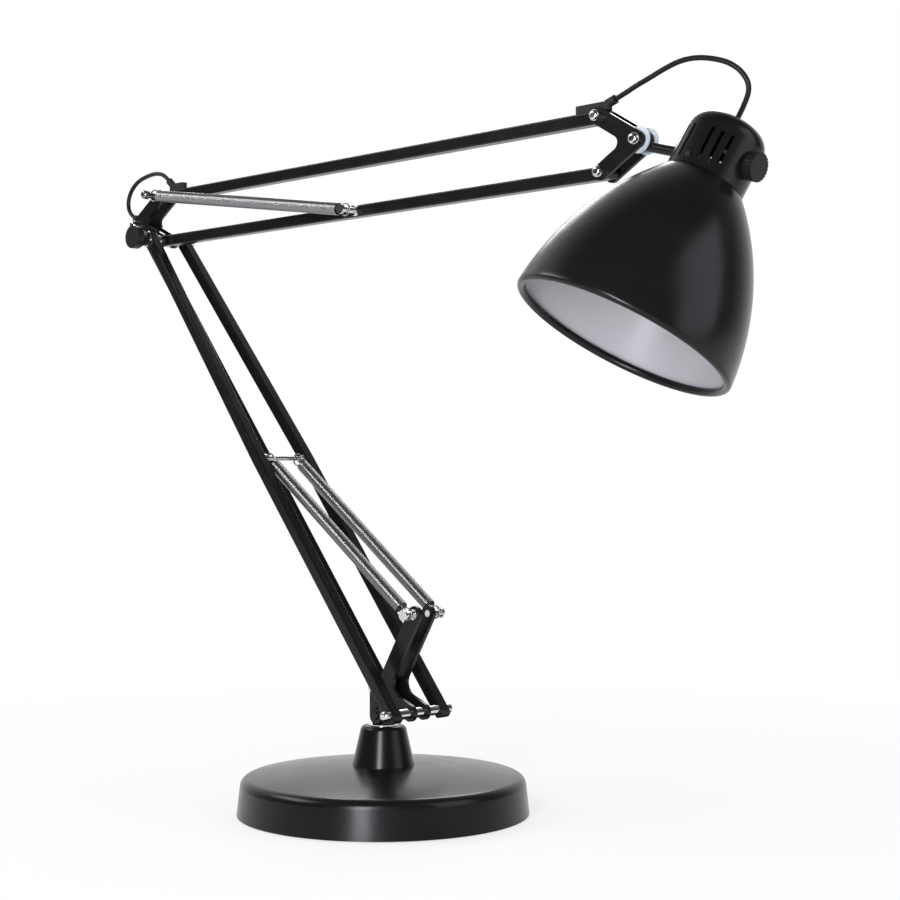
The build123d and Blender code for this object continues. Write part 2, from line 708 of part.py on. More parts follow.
# Cords
def cord(name, points):
    """Limp cord as straight runs joined by the largest tangent arcs that fit them."""
    runs = [second - first for first, second in zip(points, points[1:])]
    radii = []
    for one, two in zip(runs, runs[1:]):
        radii.append(arc_share * min(one.length, two.length) / tan(radians(one.get_angle(two)) / 2))
    path = FilletPolyline(*points, radius=radii)
    tube = sweep(Plane(path @ 0, z_dir=path % 0) * Circle(cord_radius), path=path)
    share = tube.volume / (path.length * pi * cord_radius ** 2)
    listed = ", ".join(f"{radius:.1f}" for radius in radii)
    print(f"{name}: length {path.length:.1f} mm, volume share {share:.4f}, radii {listed}")
    return tube


def make_cords(elbow_mouth, link_mouth, head_mouth, cap_mouth):
    """Loops of cord over the elbow and over the head, each cut where the next body takes it on."""
    elbow_ends = [elbow_mouth, elbow_mouth + elbow_cord_way * lead_run]
    link_ends = [link_mouth + link_cord_way * lead_run, link_mouth]
    head_ends = [head_mouth, head_mouth + head_cord_way * lead_run]
    cap_ends = [cap_mouth + shade_axis * cap_lead_run, cap_mouth]
    elbow_arm, elbow_link = joined(elbow_arm_points, elbow_link_points)
    head_arm, head_rest = joined(head_arm_points, head_middle_points)
    head_middle, head_tail = joined(head_rest, head_tail_points)
    return {
        "elbow_cord_arm": cord("elbow_cord_arm", elbow_ends + elbow_arm),
        "elbow_cord_link": cord("elbow_cord_link", elbow_link + link_ends),
        "head_cord_arm": cord("head_cord_arm", head_ends + head_arm),
        "head_cord_middle": cord("head_cord_middle", head_middle),
        "head_cord_tail": cord("head_cord_tail", head_tail + cap_ends),
    }


def joined(first, second):
    """Two stretches of a route that meet half way between their nearest points."""
    one, two = [Vector(*point) for point in first], [Vector(*point) for point in second]
    meeting = (one[-1] + two[0]) / 2
    return one + [meeting], [meeting] + two


# Head bracket and stem
def make_head_bracket():
    """Head plates with the two bar bolts, the knuckle bolt and their nuts."""
    holes = [(point, small_bolt_radius + fit_clearance) for point in (head_low, head_high)]
    holes += [(knuckle, foot_bolt_radius + fit_clearance)]
    near, far = wedge_plates(head_low, knuckle, head_high, holes)
    end = arm_plate_face + dome_height / 2
    bolts = headed_bolt(head_low, -arm_plate_face, end, small_bolt_radius)
    bolts += headed_bolt(head_high, -arm_plate_face, end, small_bolt_radius)
    knuckle_bolt = headed_bolt(knuckle, -arm_plate_face, end, foot_bolt_radius)
    nuts = cap_nut(head_low, arm_plate_face, small_bolt_radius, end)
    nuts += cap_nut(head_high, arm_plate_face, small_bolt_radius, end)
    nuts += cap_nut(knuckle, arm_plate_face, foot_bolt_radius, end)
    return {
        "head_plate_near": near, "head_plate_far": far, "head_pivot_bolts": bolts,
        "knuckle_bolt": knuckle_bolt, "head_cap_nuts": nuts,
    }


def make_stem():
    """Stem with its eye between two friction discs, its collar and the nut inside the cap."""
    disc_outside = arm_plate_half_gap - running_gap
    eye_half = disc_outside - friction_disc_thickness
    bore = foot_bolt_radius + pin_clearance
    root = knuckle - stem_up * stem_offset
    inner_wall = sqrt((cap_radius - cap_wall) ** 2 - stem_nut_radius ** 2)
    nut_start = stem_reach - inner_wall + side_gap
    nut_end = nut_start + stem_nut_length
    collar_end = stem_reach - cap_radius - side_gap
    rod = extrude(Plane(root, z_dir=stem_way) * Circle(stem_radius), nut_end)
    collar_place = Plane(root + stem_way * (collar_end - stem_collar_length), z_dir=stem_way)
    rod += extrude(collar_place * Circle(stem_collar_radius), stem_collar_length)
    rod += pin(knuckle, -eye_half, eye_half, stem_eye_radius)
    rod -= pin(knuckle, -2 * eye_half, 2 * eye_half, bore)
    discs = mirrored(knuckle, eye_half, disc_outside, sleeve, friction_disc_radius, bore)
    nut_place = Plane(root + stem_way * nut_start, z_dir=stem_way)
    nut_ring = Circle(stem_nut_radius) - Circle(stem_radius + fit_clearance)
    nut = extrude(nut_place * nut_ring, stem_nut_length)
    return {"stem": rod, "friction_discs": discs, "stem_nut": nut}


# Head, drawn upright with its rim at zero height, the stem coming from minus X
def shade_region(inset):
    """Half region inside the shade's skin, drawn in by an inset."""
    rim, neck = Vector(shade_rim_radius - inset, 0), Vector(shade_neck_radius - inset, shade_height - inset)
    across = (neck - rim).normalized()
    middle = (rim + neck) / 2 + Vector(across.Y, -across.X) * shade_bulge
    lines = Polyline(neck, (0, neck.Y), (0, 0), rim)
    return make_face(ThreePointArc(rim, middle, neck) + lines)


def cap_region(inset, foot):
    """Half region inside the cap's skin, drawn in by an inset."""
    radii = (cap_radius - inset, cap_radius - inset)
    edge, top = shade_height + cap_edge_height - inset, shade_height + cap_top_height - inset
    return crown_outline(radii, foot, edge, top, 0, cap_crown_bulge, cap_edge_round - inset)


def radial(angle, distance, height):
    """Place on the head, its Z pointing outwards from the axis."""
    return Pos(0, 0, height) * Rot(0, 0, angle) * Pos(distance, 0, 0) * Rot(0, 90, 0)


def rod_at(angle, start, end, height, radius):
    """Round rod pointing outwards from the head's axis."""
    return radial(angle, start, height) * extrude(Circle(radius), end - start)


def make_head():
    """Shade, cap, lamp holder, screws, switch, its knob and the cord grommet, in place on the lamp."""
    bead = Pos(shade_rim_radius - shade_bead_radius, 0) * Circle(shade_bead_radius)
    hole = Pos(0, shade_height) * Rectangle(2 * holder_hole_radius, 2 * shade_height)
    shade = spin(shade_region(0) - shade_region(shade_sheet) - hole + bead)

    inner_radius = cap_radius - cap_wall
    cap_top = shade_height + cap_top_height
    cap = spin(cap_region(0, shade_height) - cap_region(cap_wall, shade_height))
    cap -= rod_at(180, 0, 2 * cap_radius, stem_height, stem_radius + pin_clearance)
    cap -= rod_at(0, 0, 2 * cap_radius, stem_height, switch_neck_radius + fit_clearance)
    cap -= Pos(0, 0, cap_top) * Cylinder(cord_radius + grommet_wall + fit_clearance, cap_radius)
    slot_length = slot_high - slot_low
    slot = SlotOverall(slot_length, slot_width)
    leans = [slot_first + index * slot_step for index in range(slots_in_group)]
    for angle in [start + hand * lean for start in (0, 180) for hand in (1, -1) for lean in leans]:
        place = radial(angle, cap_radius / 2, shade_height + (slot_low + slot_high) / 2)
        cap -= place * extrude(slot, cap_radius)

    crown_radius = inner_radius - side_gap
    crown_top = shade_height + holder_crown_height
    holder_foot = crown_top - holder_floor - holder_depth
    holder = disc(holder_body_radius, holder_foot, crown_top) + disc(crown_radius, shade_height, crown_top)
    holder -= disc(socket_radius, holder_foot, crown_top - holder_floor)
    screw_height = shade_height + cap_screw_height
    screws = None
    for angle in (-90, 90):
        tip, seat = cap_radius - cap_screw_length, cap_radius
        shank = rod_at(angle, tip, seat, screw_height, cap_screw_radius)
        head = rod_at(angle, seat, seat + cap_screw_head_length, screw_height, cap_screw_head_radius)
        bore_radius = cap_screw_radius + fit_clearance
        bore = rod_at(angle, tip - fit_clearance, 2 * cap_radius, screw_height, bore_radius)
        cap -= bore
        holder -= bore
        screws = shank + head if screws is None else screws + shank + head

    body_end = sqrt(inner_radius ** 2 - switch_body_radius ** 2) - side_gap
    body_start = body_end - switch_body_length
    neck_end = cap_radius + switch_neck_length
    switch = rod_at(0, body_start, body_end, stem_height, switch_body_radius)
    switch += rod_at(0, body_end, neck_end, stem_height, switch_neck_radius)
    shaft_start = body_start + fit_clearance + cap_wall
    switch -= rod_at(0, shaft_start - fit_clearance, neck_end, stem_height, switch_shaft_radius + running_gap)
    knob_start = neck_end + running_gap
    knob_end = knob_start + switch_knob_length
    knob = rod_at(0, knob_start, knob_end, stem_height, switch_knob_radius)
    for index in range(switch_knob_flutes):
        turn = radians(360 * index / switch_knob_flutes)
        sideways, rise = switch_knob_radius * sin(turn), switch_knob_radius * cos(turn)
        knob -= Pos(0, sideways, rise) * rod_at(0, knob_start, knob_end, stem_height, switch_flute_radius)
    knob += rod_at(0, shaft_start, knob_start, stem_height, switch_shaft_radius)

    neck_radius = cord_radius + grommet_wall
    mouth = cap_top + cap_grommet_rise
    grommet = disc(neck_radius, cap_top - cap_wall - cap_grommet_rise, mouth)
    grommet += disc(cap_grommet_flange, cap_top, mouth)
    grommet = fillet(grommet.edges().filter_by(GeomType.CIRCLE).sort_by(Axis.Z)[-1], cap_grommet_rise / 2)
    upright = {
        "shade": shade, "socket_cap": cap, "lamp_holder": holder, "cap_screws": screws,
        "switch_body": switch, "switch_knob": knob, "cap_grommet": grommet,
    }
    placed = {name: head_place * piece for name, piece in upright.items()}
    return placed, rim_centre + shade_axis * mouth


# Directions and places of the head and the cord ends
upper_up = in_plane(-upper_way.Z, upper_way.X)
stem_way = heading(-stem_drop)
stem_up = heading(90 - stem_drop)
shade_axis = stem_up * cos(radians(head_twist)) + Y_WAY * sin(radians(head_twist))
stem_end = knuckle + stem_way * stem_reach - stem_up * stem_offset
rim_centre = stem_end - shade_axis * stem_height
head_place = Plane(rim_centre, x_dir=stem_way, z_dir=shade_axis)
elbow_cord_way = heading(elbow_cord_angle)
head_cord_way = heading(head_cord_angle)
link_cord_way = heading(link_cord_angle)
elbow_arm_points = [(-282.5, 0, 517.6), (-291.5, 0, 518.0)]
elbow_link_points = [
    (-301.0, 0, 516.9), (-310.5, 0, 514.8), (-319.0, 0, 510.5), (-325.6, 0, 503.5), (-328.0, 0, 494.5),
]
head_arm_points = [(241.0, 0, 512.6), (251.0, 1.0, 516.2)]
head_middle_points = [(262.5, 2.6, 521.0), (274.0, 4.6, 524.8), (285.5, 7.0, 525.4)]
head_tail_points = [(297.0, 9.6, 523.2), (307.0, 13.0, 519.4), (314.5, 16.8, 512.6), (318.0, 19.8, 503.0)]

base_pieces, bush_low, ring_high = make_base()
link_pieces, link_cord_mouth = make_rear_link()
arm_pieces, elbow_cord_mouth, head_cord_mouth = make_upper_arm()
head_pieces, cap_cord_mouth = make_head()
pieces = base_pieces | make_foot_bracket(bush_low, ring_high) | make_lower_arm() | link_pieces
pieces |= make_elbow() | arm_pieces | make_head_bracket() | make_stem() | head_pieces | make_springs()
pieces |= make_cords(elbow_cord_mouth, link_cord_mouth, head_cord_mouth, cap_cord_mouth)

os.makedirs("parts", exist_ok=True)
for node, piece in pieces.items():
    export_step(piece, f"parts/{node}.step")
print(f"{len(pieces)} nodes")
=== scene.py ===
"""Dressed model of the spring-balanced architect lamp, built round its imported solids.

Metres, +Z up. X runs along the arm plane towards the head, Y along the pivot bolts.
The solids stay where they are and get their finishes here. The springs, the cord and the
two-coloured shade are new surfaces that stand for their plain solids.
"""

import json
import logging
import math
from dataclasses import dataclass, field
from enum import Enum

import bpy
import numpy as np
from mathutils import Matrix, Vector


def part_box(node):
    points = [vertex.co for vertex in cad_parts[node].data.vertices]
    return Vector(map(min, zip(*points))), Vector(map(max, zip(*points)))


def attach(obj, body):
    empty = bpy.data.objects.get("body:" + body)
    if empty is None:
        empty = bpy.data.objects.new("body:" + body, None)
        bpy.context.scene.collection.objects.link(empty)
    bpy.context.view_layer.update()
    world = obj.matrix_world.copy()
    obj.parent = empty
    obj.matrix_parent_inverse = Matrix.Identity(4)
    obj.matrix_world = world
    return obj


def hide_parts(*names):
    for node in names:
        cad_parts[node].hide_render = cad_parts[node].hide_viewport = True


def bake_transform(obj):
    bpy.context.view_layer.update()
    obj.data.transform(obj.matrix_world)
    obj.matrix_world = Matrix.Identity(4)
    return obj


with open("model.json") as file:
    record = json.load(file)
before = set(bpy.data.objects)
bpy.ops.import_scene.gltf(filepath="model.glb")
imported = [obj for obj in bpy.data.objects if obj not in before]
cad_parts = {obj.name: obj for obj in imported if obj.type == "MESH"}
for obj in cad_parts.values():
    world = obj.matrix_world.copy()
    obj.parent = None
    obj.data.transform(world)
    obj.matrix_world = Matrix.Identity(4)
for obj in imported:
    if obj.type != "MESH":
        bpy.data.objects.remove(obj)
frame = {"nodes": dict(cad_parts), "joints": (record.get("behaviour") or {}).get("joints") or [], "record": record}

LOG = logging.getLogger("architect_lamp")
MM = 0.001
Y_WAY = np.array([0.0, 1.0, 0.0])
Z_WAY = np.array([0.0, 0.0, 1.0])

Colour = tuple[float, float, float]
Point = tuple[float, float, float]
Limits = tuple[float, float]
Socket = bpy.types.NodeSocket


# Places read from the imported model
def joint_place(name: str) -> np.ndarray:
    """Pivot of a joint, in metres."""
    return np.array(next(j for j in frame["joints"] if j["name"] == name)["pos_m"], float)


def joint_axis(name: str) -> np.ndarray:
    """Direction that a joint turns about."""
    return unit(np.array(next(j for j in frame["joints"] if j["name"] == name)["axis"], float))


def mount(name: str) -> dict:
    """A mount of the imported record."""
    return next(m for m in frame["record"]["mounts"] if m["name"] == name)


def node_middle(name: str) -> np.ndarray:
    """Middle of a solid's box, in metres."""
    low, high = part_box(name)
    return (np.array(low) + np.array(high)) / 2


def in_arm_plane(point: np.ndarray, side: float = 0.0) -> np.ndarray:
    """The same point moved along Y to a given side."""
    return np.array([point[0], side, point[2]])


def unit(vectors: np.ndarray) -> np.ndarray:
    """Vectors divided by their lengths, along the last axis."""
    return vectors / np.linalg.norm(vectors, axis=-1, keepdims=True)


# Surfaces on grids
@dataclass
class GridSurface:
    """A surface sampled on a grid of rows and columns, with the columns closed into rings.

    Attributes:
        points: grid of shape (rows, columns, 3), in metres.
        closed_rows: whether the last row joins the first.
        capped: whether flat faces close the first and the last ring.
        row_length: distance along the rows, for the first texture coordinate.
    """

    points: np.ndarray
    closed_rows: bool = False
    capped: bool = False
    row_length: np.ndarray | None = None

    def corners(self) -> tuple[np.ndarray, np.ndarray]:
        """Grid places of the four corners of every cell.

        Cell (i, j) has corners (i, j), (i, j+1), (i+1, j+1) and (i+1, j), not yet wrapped.

        Returns:
            Row and column numbers, each of shape (cells, 4).
        """
        rows, columns = self.points.shape[:2]
        count = rows if self.closed_rows else rows - 1
        row, column = np.meshgrid(np.arange(count), np.arange(columns), indexing="ij")
        corner_rows = np.stack([row, row, row + 1, row + 1], axis=-1).reshape(-1, 4)
        corner_columns = np.stack([column, column + 1, column + 1, column], axis=-1).reshape(-1, 4)
        return corner_rows, corner_columns

    def build(self, name: str, row_material: np.ndarray | None = None) -> bpy.types.Object:
        """Put the surface into a new smooth mesh object at the origin.

        Args:
            name: name of the object and its mesh.
            row_material: material number of each row of cells, if there is more than one.

        Returns:
            The new object.
        """
        rows, columns = self.points.shape[:2]
        corner_rows, corner_columns = self.corners()
        faces = (corner_rows % rows) * columns + corner_columns % columns
        face_list = faces.tolist()
        if self.capped:
            face_list.append(list(range(columns))[::-1])
            face_list.append(list(range((rows - 1) * columns, rows * columns)))
        mesh = bpy.data.meshes.new(name)
        mesh.from_pydata(self.points.reshape(-1, 3).tolist(), [], face_list)
        smooth = np.ones(len(face_list), bool)
        smooth[len(faces):] = False
        mesh.polygons.foreach_set("use_smooth", smooth)
        if row_material is not None:
            face_material = np.repeat(row_material, columns).astype(np.int32)
            mesh.polygons.foreach_set("material_index", face_material)
        if self.row_length is not None:
            along = np.append(self.row_length, self.row_length[-1])[corner_rows]
            uv = np.zeros((len(mesh.loops), 2), np.float32)
            uv[: faces.size] = np.stack([along, corner_columns / columns], axis=-1).reshape(-1, 2)
            mesh.uv_layers.new(name="along_and_around").data.foreach_set("uv", uv.ravel())
        mesh.update()
        made = bpy.data.objects.new(name, mesh)
        bpy.context.scene.collection.objects.link(made)
        return made


def tube(
    path: np.ndarray, reference: np.ndarray, radius: float, sides: int,
    depth: np.ndarray | float = 1.0,
) -> GridSurface:
    """Round or oval tube along a path.

    Each ring is p + r (depth * cos a * side + sin a * up), where side is the tangent crossed with
    the reference direction and up is the tangent crossed with side.

    Args:
        path: points of the centre line, shape (n, 3).
        reference: direction, or one direction for each point, never along the path.
        radius: radius of the tube.
        sides: points in each ring.
        depth: share of the radius that is left along side, for the whole path or for each point.

    Returns:
        The tube with both ends closed and its length as the first texture coordinate.
    """
    tangent = unit(np.gradient(path, axis=0))
    side = unit(np.cross(tangent, reference))
    up = np.cross(tangent, side)
    angle = np.linspace(0, 2 * np.pi, sides, endpoint=False)
    side = side * np.reshape(depth, (-1, 1))
    ring = np.cos(angle)[None, :, None] * side[:, None] + np.sin(angle)[None, :, None] * up[:, None]
    steps = np.linalg.norm(np.diff(path, axis=0), axis=1)
    length = np.concatenate([[0.0], np.cumsum(steps)])
    return GridSurface(path[:, None] + radius * ring, capped=True, row_length=length)


# Finishes
class Grain(Enum):
    """Fine relief that a finish shows."""

    ORANGE_PEEL = "fine soft noise of sprayed paint or enamel"
    TURNED = "close rings of lathe work"
    DRAWN = "streaks along a drawn wire or an extruded sheath"
    PITTED = "small cells of foam, rubber or cast iron"


@dataclass(frozen=True)
class Finish:
    """One procedural finish, with its colour mottled and its relief taken from noise.

    Attributes:
        name: name of the material.
        dark: colour of the darker patches.
        light: colour of the lighter patches.
        roughness: lowest and highest roughness.
        grain: kind of fine relief.
        grain_scale: relief repeats in one metre.
        relief: depth of the relief in metres.
        strength: strength of the relief.
        metallic: 1 for bare metal.
        specular: specular level of the shader.
        see_through: share of light that passes.
        mottle_scale: size of the noise in the colour, in repeats a metre.
        mottle_detail: fineness of the noise in the colour.
        relief_detail: fineness of the noise in the relief.
        drawn_scale: scale of the relief along and around a drawn piece.
    """

    name: str
    dark: Colour
    light: Colour
    roughness: Limits
    grain: Grain
    grain_scale: float
    relief: float = 0.0001
    strength: float = 0.2
    metallic: float = 0.0
    specular: float = 0.5
    see_through: float = 0.0
    mottle_scale: float = 45.0
    mottle_detail: float = 3.0
    relief_detail: float = 2.0
    drawn_scale: Point = (1.0, 0.12, 1.0)

    def build(self) -> bpy.types.Material:
        """Make the material.

        Returns:
            The new material.
        """
        sheet = NodeSheet(self.name)
        way = "UV" if self.grain is Grain.DRAWN else "Object"
        place = sheet.add("ShaderNodeTexCoord").outputs[way]
        mottle = sheet.noise(place, self.mottle_scale, self.mottle_detail)
        colour = sheet.mixed_colour(mottle, self.dark, self.light)
        rough = sheet.ranged(mottle, self.roughness)
        normal = sheet.bump(self.relief_height(sheet, place), self.strength, self.relief)
        shader = sheet.add("ShaderNodeBsdfPrincipled")
        shader.inputs["Metallic"].default_value = self.metallic
        shader.inputs["Specular IOR Level"].default_value = self.specular
        shader.inputs["Transmission Weight"].default_value = self.see_through
        sheet.link(colour, shader.inputs["Base Color"])
        sheet.link(rough, shader.inputs["Roughness"])
        sheet.link(normal, shader.inputs["Normal"])
        sheet.finish(shader.outputs["BSDF"])
        return sheet.material

    def relief_height(self, sheet: "NodeSheet", place: Socket) -> Socket:
        """Height of the fine relief.

        Args:
            sheet: node tree being built.
            place: coordinates that the relief follows.

        Returns:
            Socket with the height from 0 to 1.
        """
        if self.grain is Grain.PITTED:
            return sheet.cells(place, self.grain_scale)
        if self.grain is Grain.TURNED:
            return sheet.rings(place, self.grain_scale)
        if self.grain is Grain.DRAWN:
            place = sheet.stretched(place, self.drawn_scale)
        return sheet.noise(place, self.grain_scale, self.relief_detail)


class NodeSheet:
    """Short-hand for building one material's node tree.

    Attributes:
        material: the material.
        tree: its node tree.
        output: its output node.
    """

    NOISE_SPAN: Limits = (0.3, 0.7)
    RING_WAVER: float = 0.6

    def __init__(self, name: str) -> None:
        """Start an empty node tree with its output.

        Args:
            name: name of the material.
        """
        self.material = bpy.data.materials.new(name)
        self.material.use_nodes = True
        self.tree = self.material.node_tree
        self.tree.nodes.clear()
        self.output = self.add("ShaderNodeOutputMaterial")

    def add(self, kind: str) -> bpy.types.Node:
        """A new node of a kind."""
        return self.tree.nodes.new(kind)

    def link(self, source: Socket, target: Socket) -> None:
        """Join two sockets."""
        self.tree.links.new(source, target)

    def finish(self, shader: Socket) -> None:
        """Join the shader to the output."""
        self.link(shader, self.output.inputs["Surface"])

    def noise(self, place: Socket, scale: float, detail: float) -> Socket:
        """Noise from 0 to 1.

        Args:
            place: coordinates.
            scale: repeats a metre.
            detail: fineness of the noise.

        Returns:
            Socket with the noise.
        """
        node = self.add("ShaderNodeTexNoise")
        node.inputs["Scale"].default_value = scale
        node.inputs["Detail"].default_value = detail
        self.link(place, node.inputs["Vector"])
        return node.outputs["Fac"]

    def cells(self, place: Socket, scale: float) -> Socket:
        """Distance to the nearest cell point.

        Args:
            place: coordinates.
            scale: cells a metre.

        Returns:
            Socket with the distance.
        """
        node = self.add("ShaderNodeTexVoronoi")
        node.inputs["Scale"].default_value = scale
        self.link(place, node.inputs["Vector"])
        return node.outputs["Distance"]

    def rings(self, place: Socket, scale: float) -> Socket:
        """Slightly wavering rings about the Y axis.

        Args:
            place: coordinates.
            scale: scale of the rings.

        Returns:
            Socket with the rings, from 0 to 1.
        """
        node = self.add("ShaderNodeTexWave")
        node.wave_type = "RINGS"
        node.rings_direction = "Y"
        node.inputs["Scale"].default_value = scale
        node.inputs["Distortion"].default_value = self.RING_WAVER
        self.link(place, node.inputs["Vector"])
        return node.outputs["Fac"]

    def stretched(self, place: Socket, scale: Point) -> Socket:
        """Coordinates scaled along each axis.

        Args:
            place: coordinates.
            scale: factor along each axis.

        Returns:
            Socket with the scaled coordinates.
        """
        node = self.add("ShaderNodeMapping")
        node.inputs["Scale"].default_value = scale
        self.link(place, node.inputs["Vector"])
        return node.outputs["Vector"]

    def mixed_colour(self, share: Socket, dark: Colour, light: Colour) -> Socket:
        """Colour between two by a share.

        Args:
            share: 0 for the dark colour, 1 for the light one.
            dark: first colour.
            light: second colour.

        Returns:
            Socket with the colour.
        """
        node = self.add("ShaderNodeMix")
        node.data_type = "RGBA"
        colour_inputs = [socket for socket in node.inputs if socket.type == "RGBA"]
        colour_inputs[0].default_value = (*dark, 1.0)
        colour_inputs[1].default_value = (*light, 1.0)
        self.link(share, node.inputs["Factor"])
        return next(socket for socket in node.outputs if socket.type == "RGBA")

    def ranged(self, share: Socket, limits: Limits) -> Socket:
        """The span where noise mostly lies, spread over two limits.

        Args:
            share: noise from 0 to 1.
            limits: values at the low and the high end of the span.

        Returns:
            Socket with the value.
        """
        node = self.add("ShaderNodeMapRange")
        span_from, span_to = self.NOISE_SPAN
        node.inputs["From Min"].default_value, node.inputs["From Max"].default_value = span_from, span_to
        node.inputs["To Min"].default_value, node.inputs["To Max"].default_value = limits
        self.link(share, node.inputs["Value"])
        return node.outputs["Result"]

    def bump(self, height: Socket, strength: float, depth: float) -> Socket:
        """Normal of a relief.

        Args:
            height: height from 0 to 1.
            strength: strength of the relief.
            depth: depth of the relief in metres.

        Returns:
            Socket with the normal.
        """
        node = self.add("ShaderNodeBump")
        node.inputs["Strength"].default_value = strength
        node.inputs["Distance"].default_value = depth
        self.link(height, node.inputs["Height"])
        return node.outputs["Normal"]


PAINT = Finish(
    "satin_black_paint", (0.0045, 0.0045, 0.0048), (0.0075, 0.0073, 0.0075), (0.22, 0.27),
    Grain.ORANGE_PEEL, 1100.0, 0.00004, 0.1, specular=0.24,
)
ENAMEL = Finish(
    "white_shade_enamel", (0.41, 0.40, 0.42), (0.45, 0.44, 0.46), (0.32, 0.36),
    Grain.ORANGE_PEEL, 700.0, 0.00005, 0.05, specular=0.5,
)
FINISHES = {
    "satin_black_paint": PAINT,
    "bright_nickel": Finish(
        "bright_nickel", (0.64, 0.63, 0.62), (0.74, 0.73, 0.72), (0.10, 0.18),
        Grain.TURNED, 900.0, 0.00001, 0.08, metallic=1.0,
    ),
    "spring_steel": Finish(
        "spring_steel", (0.26, 0.26, 0.27), (0.31, 0.31, 0.32), (0.20, 0.26),
        Grain.DRAWN, 900.0, 0.00001, 0.1, metallic=1.0,
    ),
    "iron_weight": Finish(
        "iron_weight", (0.030, 0.030, 0.032), (0.055, 0.054, 0.053), (0.55, 0.75),
        Grain.PITTED, 500.0, 0.0003, 0.5, metallic=0.6,
    ),
    "felt_pad": Finish(
        "felt_pad", (0.012, 0.012, 0.013), (0.028, 0.028, 0.029), (0.85, 0.98),
        Grain.PITTED, 1400.0, 0.0003, 0.7, specular=0.2,
    ),
    "bush_brass": Finish(
        "bush_brass", (0.55, 0.40, 0.17), (0.68, 0.52, 0.25), (0.22, 0.36),
        Grain.TURNED, 900.0, 0.00002, 0.3, metallic=1.0,
    ),
    "black_plastic": Finish(
        "black_plastic", (0.006, 0.006, 0.007), (0.010, 0.010, 0.011), (0.36, 0.48),
        Grain.ORANGE_PEEL, 1600.0, 0.00008, 0.3, specular=0.28,
    ),
    "black_rubber": Finish(
        "black_rubber", (0.010, 0.010, 0.010), (0.018, 0.018, 0.018), (0.60, 0.75),
        Grain.PITTED, 1800.0, 0.0001, 0.3, specular=0.3,
    ),
    "cord_sheath": Finish(
        "cord_sheath", (0.005, 0.005, 0.006), (0.009, 0.009, 0.010), (0.34, 0.46),
        Grain.DRAWN, 500.0, 0.00005, 0.3, specular=0.22,
    ),
    "clear_friction_disc": Finish(
        "clear_friction_disc", (0.60, 0.67, 0.74), (0.72, 0.78, 0.84), (0.28, 0.40),
        Grain.ORANGE_PEEL, 800.0, 0.00004, 0.2, see_through=0.35,
    ),
}

# Fasteners with a duller finish than their slot, and that finish
DULLED_PIECES = {
    "elbow_tip_bolt": "spring_steel",
    "cap_screws": "spring_steel",
}


# Springs
@dataclass(frozen=True)
class SpringSpan:
    """A stretch of a spring, in shares of the way between its pins.

    Attributes:
        start: where the stretch begins.
        end: where it ends.
        bend_start: where the bend leaves the first body; not used.
        bend_end: where the bend reaches the second body; not used.
    """

    start: float
    end: float
    bend_start: float
    bend_end: float


